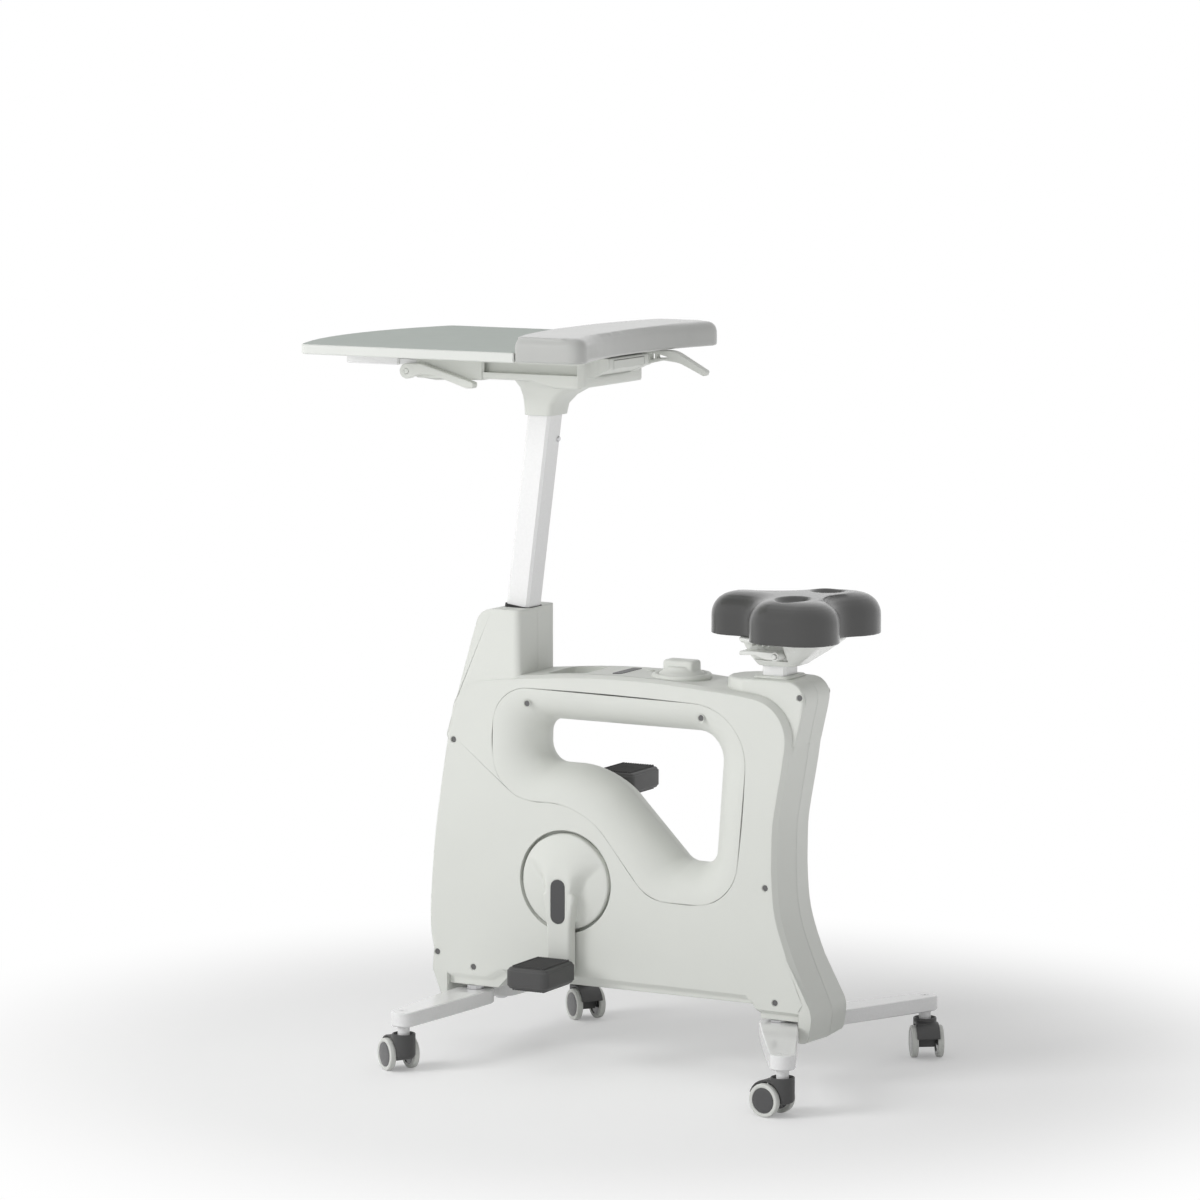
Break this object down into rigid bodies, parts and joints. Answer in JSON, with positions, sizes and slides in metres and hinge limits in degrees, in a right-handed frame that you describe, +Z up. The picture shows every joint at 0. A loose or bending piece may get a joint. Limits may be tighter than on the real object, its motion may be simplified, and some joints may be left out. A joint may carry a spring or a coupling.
{
  "type": "desk exercise bike",
  "caption": "Folding desk bike: upright casing with cranks and pedals, charcoal seat, desk top on a sliding mast, swing legs on twin-wheel casters.",
  "frame": {"origin": "on the floor, under the middle of the bounding box", "axes": "+X to the rider's right, +Y forward from the seat towards the desk, +Z up"},
  "size_m": [0.5318, 0.9177, 1.121],
  "materials": {
    "casing_plastic": "off-white moulded plastic with a fine grain",
    "pan_plastic": "off-white gloss plastic",
    "white_paint": "white gloss paint",
    "zinc_steel": "plain steel",
    "black_paint": "black satin paint",
    "charcoal_pad": "charcoal soft foam skin, satin",
    "grey_pad": "light grey soft skin, satin",
    "desk_surface": "light grey-green laminate with a fine grain",
    "dark_plastic": "dark grey moulded plastic",
    "display_gloss": "black gloss window",
    "light_tyre": "off-white soft tread",
    "black_rubber": "black rubber"
  },
  "bodies": {
    "frame": {"main_frame": "white_paint", "left_shell": "casing_plastic", "right_shell": "casing_plastic", "left_window_trim": "casing_plastic", "right_window_trim": "casing_plastic", "console_deck": "casing_plastic", "display_panel": "display_gloss", "knob_base": "casing_plastic", "seat_collar": "casing_plastic", "column_gasket": "black_rubber", "front_left_leg_pivot": "zinc_steel", "front_right_leg_pivot": "zinc_steel", "rear_left_leg_pivot": "zinc_steel", "rear_right_leg_pivot": "zinc_steel", "flywheel_axle": "zinc_steel", "seat_gas_cylinder": "black_paint", "desk_gas_cylinder": "black_paint", "drive_belt": "black_rubber"},
    "crank_set": {"crank_axle": "zinc_steel", "left_crank": "casing_plastic", "right_crank": "casing_plastic", "left_crank_badge": "dark_plastic", "right_crank_badge": "dark_plastic", "left_pedal_spindle": "zinc_steel", "right_pedal_spindle": "zinc_steel", "crank_pulley": "dark_plastic"},
    "left_pedal_body": {"left_pedal": "dark_plastic"},
    "right_pedal_body": {"right_pedal": "dark_plastic"},
    "flywheel_body": {"flywheel": "zinc_steel"},
    "magnet_bracket_body": {"magnet_bracket": "black_paint"},
    "resistance_knob_body": {"resistance_knob": "casing_plastic"},
    "mode_button_body": {"mode_button": "casing_plastic"},
    "seat_lever_body": {"seat_lever": "pan_plastic"},
    "left_lever_body": {"left_lever": "casing_plastic"},
    "right_lever_body": {"right_lever": "casing_plastic"},
    "rear_paddle_body": {"rear_paddle": "casing_plastic"},
    "seat": {"seat_post": "white_paint", "seat_gas_rod": "zinc_steel", "seat_pan": "pan_plastic", "seat_cushion": "charcoal_pad"},
    "desk_mast": {"desk_column": "white_paint", "desk_gas_rod": "zinc_steel", "column_screw": "zinc_steel", "head_bracket": "casing_plastic"},
    "desk_slide_top": {"desktop": "desk_surface", "palm_rest": "grey_pad", "desk_tray": "white_paint"},
    "front_left_leg_body": {"front_left_leg": "white_paint"},
    "front_left_swivel": {"front_left_caster_hood": "dark_plastic"},
    "front_left_wheel_pair": {"front_left_caster_wheels": "light_tyre"},
    "front_right_leg_body": {"front_right_leg": "white_paint"},
    "front_right_swivel": {"front_right_caster_hood": "dark_plastic"},
    "front_right_wheel_pair": {"front_right_caster_wheels": "light_tyre"},
    "rear_left_leg_body": {"rear_left_leg": "white_paint"},
    "rear_left_swivel": {"rear_left_caster_hood": "dark_plastic"},
    "rear_left_wheel_pair": {"rear_left_caster_wheels": "light_tyre"},
    "rear_right_leg_body": {"rear_right_leg": "white_paint"},
    "rear_right_swivel": {"rear_right_caster_hood": "dark_plastic"},
    "rear_right_wheel_pair": {"rear_right_caster_wheels": "light_tyre"}
  },
  "joints": [
    {"name": "crank_spin", "type": "hinge", "parent": "frame", "child": "crank_set", "pos_m": [0, 0.049, 0.278], "axis": [1, 0, 0], "continuous": true},
    {"name": "left_pedal_spin", "type": "hinge", "parent": "crank_set", "child": "left_pedal_body", "pos_m": [-0.088, 0.049, 0.147], "axis": [1, 0, 0], "continuous": true},
    {"name": "right_pedal_spin", "type": "hinge", "parent": "crank_set", "child": "right_pedal_body", "pos_m": [0.088, 0.049, 0.409], "axis": [1, 0, 0], "continuous": true},
    {"name": "flywheel_spin", "type": "hinge", "parent": "frame", "child": "flywheel_body", "pos_m": [0, -0.169, 0.222], "axis": [1, 0, 0], "continuous": true},
    {"name": "knob_turn", "type": "hinge", "parent": "frame", "child": "resistance_knob_body", "pos_m": [0, -0.12, 0.6], "axis": [0, 0, 1], "range_deg": [0, 270]},
    {"name": "magnet_swing", "type": "hinge", "parent": "frame", "child": "magnet_bracket_body", "pos_m": [0, -0.09, 0.166], "axis": [1, 0, 0], "range_deg": [-8, 0]},
    {"name": "seat_height", "type": "slide", "parent": "frame", "child": "seat", "axis": [0, 0, 1], "range_m": [0, 0.2]},
    {"name": "seat_lever_lift", "type": "hinge", "parent": "seat", "child": "seat_lever_body", "pos_m": [-0.05, -0.308, 0.6475], "axis": [1, 0, 0], "range_deg": [0, 6], "stiffness_Nm_per_rad": 1, "springref_deg": -5.73},
    {"name": "desk_height", "type": "slide", "parent": "frame", "child": "desk_mast", "axis": [0, -0.1288, 0.9917], "range_m": [-0.2, 0.06]},
    {"name": "left_lever_lift", "type": "hinge", "parent": "desk_mast", "child": "left_lever_body", "pos_m": [-0.11, 0.293, 1.053], "axis": [1, 0, 0], "range_deg": [-12, 0], "stiffness_Nm_per_rad": 1, "springref_deg": 5.73},
    {"name": "right_lever_press", "type": "hinge", "parent": "desk_mast", "child": "right_lever_body", "pos_m": [0.11, 0.002, 1.066], "axis": [1, 0, 0], "range_deg": [0, 12], "stiffness_Nm_per_rad": 1, "springref_deg": -5.73},
    {"name": "rear_paddle_squeeze", "type": "hinge", "parent": "desk_mast", "child": "rear_paddle_body", "pos_m": [0, -0.0205, 1.074], "axis": [1, 0, 0], "range_deg": [0, 8], "stiffness_Nm_per_rad": 1, "springref_deg": -5.73},
    {"name": "desk_slide", "type": "slide", "parent": "desk_mast", "child": "desk_slide_top", "axis": [0, 1, 0], "range_m": [-0.03, 0.06]},
    {"name": "mode_button_press", "type": "slide", "parent": "frame", "child": "mode_button_body", "axis": [0, 0, -1], "range_m": [0, 0.0015], "stiffness_N_per_m": 300, "springref_m": -0.0005},
    {"name": "front_left_leg_fold", "type": "hinge", "parent": "frame", "child": "front_left_leg_body", "pos_m": [-0.0405, 0.219, 0.071], "axis": [0, 0, 1], "range_deg": [0, 92]},
    {"name": "front_left_caster_swivel", "type": "hinge", "parent": "front_left_leg_body", "child": "front_left_swivel", "pos_m": [-0.244, 0.227, 0.059], "axis": [0, 0, 1], "continuous": true},
    {"name": "front_left_wheel_spin", "type": "hinge", "parent": "front_left_swivel", "child": "front_left_wheel_pair", "pos_m": [-0.23365, 0.24234, 0.025], "axis": [-0.829, 0.5592, 0], "continuous": true},
    {"name": "front_right_leg_fold", "type": "hinge", "parent": "frame", "child": "front_right_leg_body", "pos_m": [0.0405, 0.219, 0.071], "axis": [0, 0, 1], "range_deg": [-81, 11]},
    {"name": "front_right_caster_swivel", "type": "hinge", "parent": "front_right_leg_body", "child": "front_right_swivel", "pos_m": [0.24179, 0.18802, 0.059], "axis": [0, 0, 1], "continuous": true},
    {"name": "front_right_wheel_spin", "type": "hinge", "parent": "front_right_swivel", "child": "front_right_wheel_pair", "pos_m": [0.23066, 0.17325, 0.025], "axis": [0.7986, -0.6018, 0], "continuous": true},
    {"name": "rear_left_leg_fold", "type": "hinge", "parent": "frame", "child": "rear_left_leg_body", "pos_m": [-0.0405, -0.306, 0.071], "axis": [0, 0, 1], "range_deg": [-118, 0]},
    {"name": "rear_left_caster_swivel", "type": "hinge", "parent": "rear_left_leg_body", "child": "rear_left_swivel", "pos_m": [-0.244, -0.415, 0.059], "axis": [0, 0, 1], "continuous": true},
    {"name": "rear_left_wheel_spin", "type": "hinge", "parent": "rear_left_swivel", "child": "rear_left_wheel_pair", "pos_m": [-0.24127, -0.3967, 0.025], "axis": [-0.989, 0.1478, 0], "continuous": true},
    {"name": "rear_right_leg_fold", "type": "hinge", "parent": "frame", "child": "rear_right_leg_body", "pos_m": [0.0405, -0.306, 0.071], "axis": [0, 0, 1], "range_deg": [0, 118]},
    {"name": "rear_right_caster_swivel", "type": "hinge", "parent": "rear_right_leg_body", "child": "rear_right_swivel", "pos_m": [0.244, -0.415, 0.059], "axis": [0, 0, 1], "continuous": true},
    {"name": "rear_right_wheel_spin", "type": "hinge", "parent": "rear_right_swivel", "child": "rear_right_wheel_pair", "pos_m": [0.22857, -0.42521, 0.025], "axis": [0.5519, -0.8339, 0], "continuous": true}
  ],
  "couplings": [
    {"joint": "flywheel_spin", "follows": "crank_spin", "ratio": 3.75},
    {"joint": "magnet_swing", "follows": "knob_turn", "ratio": -0.0296}
  ]
}
